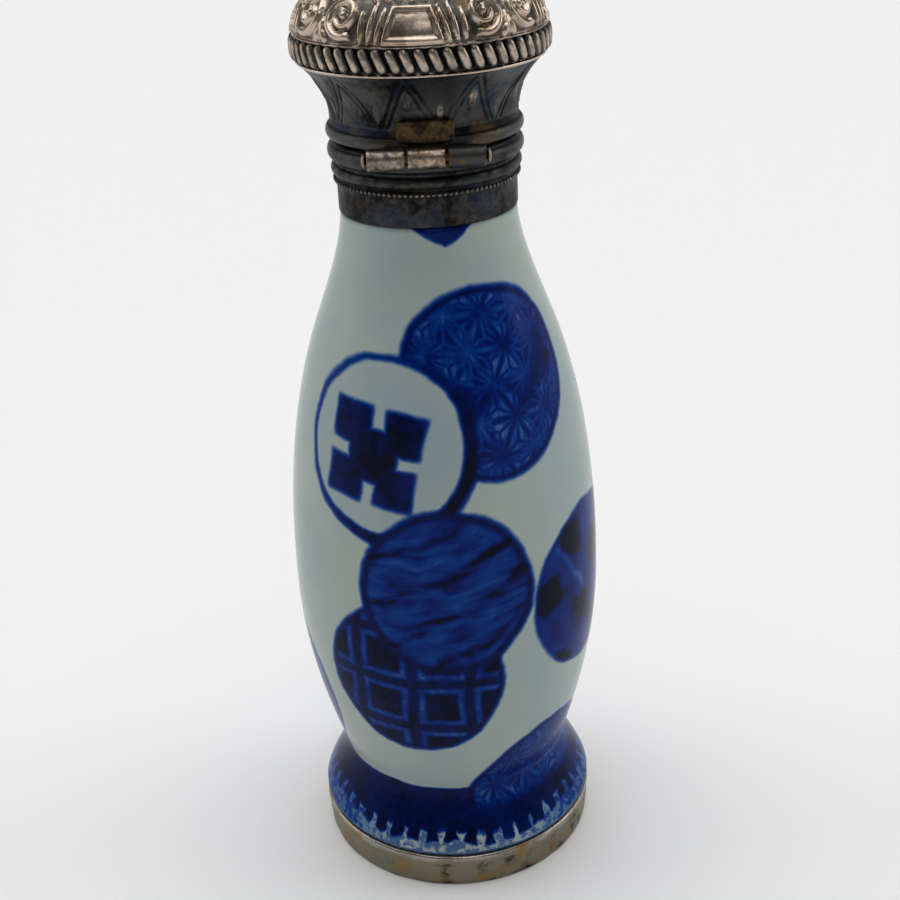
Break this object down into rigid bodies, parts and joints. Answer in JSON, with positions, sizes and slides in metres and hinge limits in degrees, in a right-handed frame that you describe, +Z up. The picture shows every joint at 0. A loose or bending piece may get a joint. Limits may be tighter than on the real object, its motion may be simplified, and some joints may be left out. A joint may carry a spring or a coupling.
{
  "type": "porcelain perfume bottle",
  "caption": "Slender waisted porcelain perfume bottle on a metal foot band, with a moulded silver collar and a hinged, domed and gadrooned silver lid.",
  "frame": {"origin": "centre of the bottle's underside, on the surface that it stands on", "axes": "+Z up along the bottle's axis, -Y towards the lid's hinge, X along the hinge's pin"},
  "size_m": [0.0282, 0.0282, 0.0824],
  "materials": {
    "glazed_porcelain": "glossy glaze, painted in underglaze blue",
    "foot_metal": "tarnished, worn bright in places",
    "tarnished_silver": "tarnished silver",
    "lid_silver": "tarnished repousse silver",
    "pin_metal": "worn satin"
  },
  "bodies": {
    "bottle": {"porcelain_bottle": "glazed_porcelain", "foot_mount": "foot_metal", "neck_mount": "tarnished_silver", "hinge_pin": "pin_metal"},
    "lid": {"lid": "lid_silver"}
  },
  "joints": [
    {"name": "lid_hinge", "type": "hinge", "parent": "bottle", "child": "lid", "pos_m": [0, -0.00899, 0.06865], "axis": [1, 0, 0], "range_deg": [0, 110]}
  ]
}
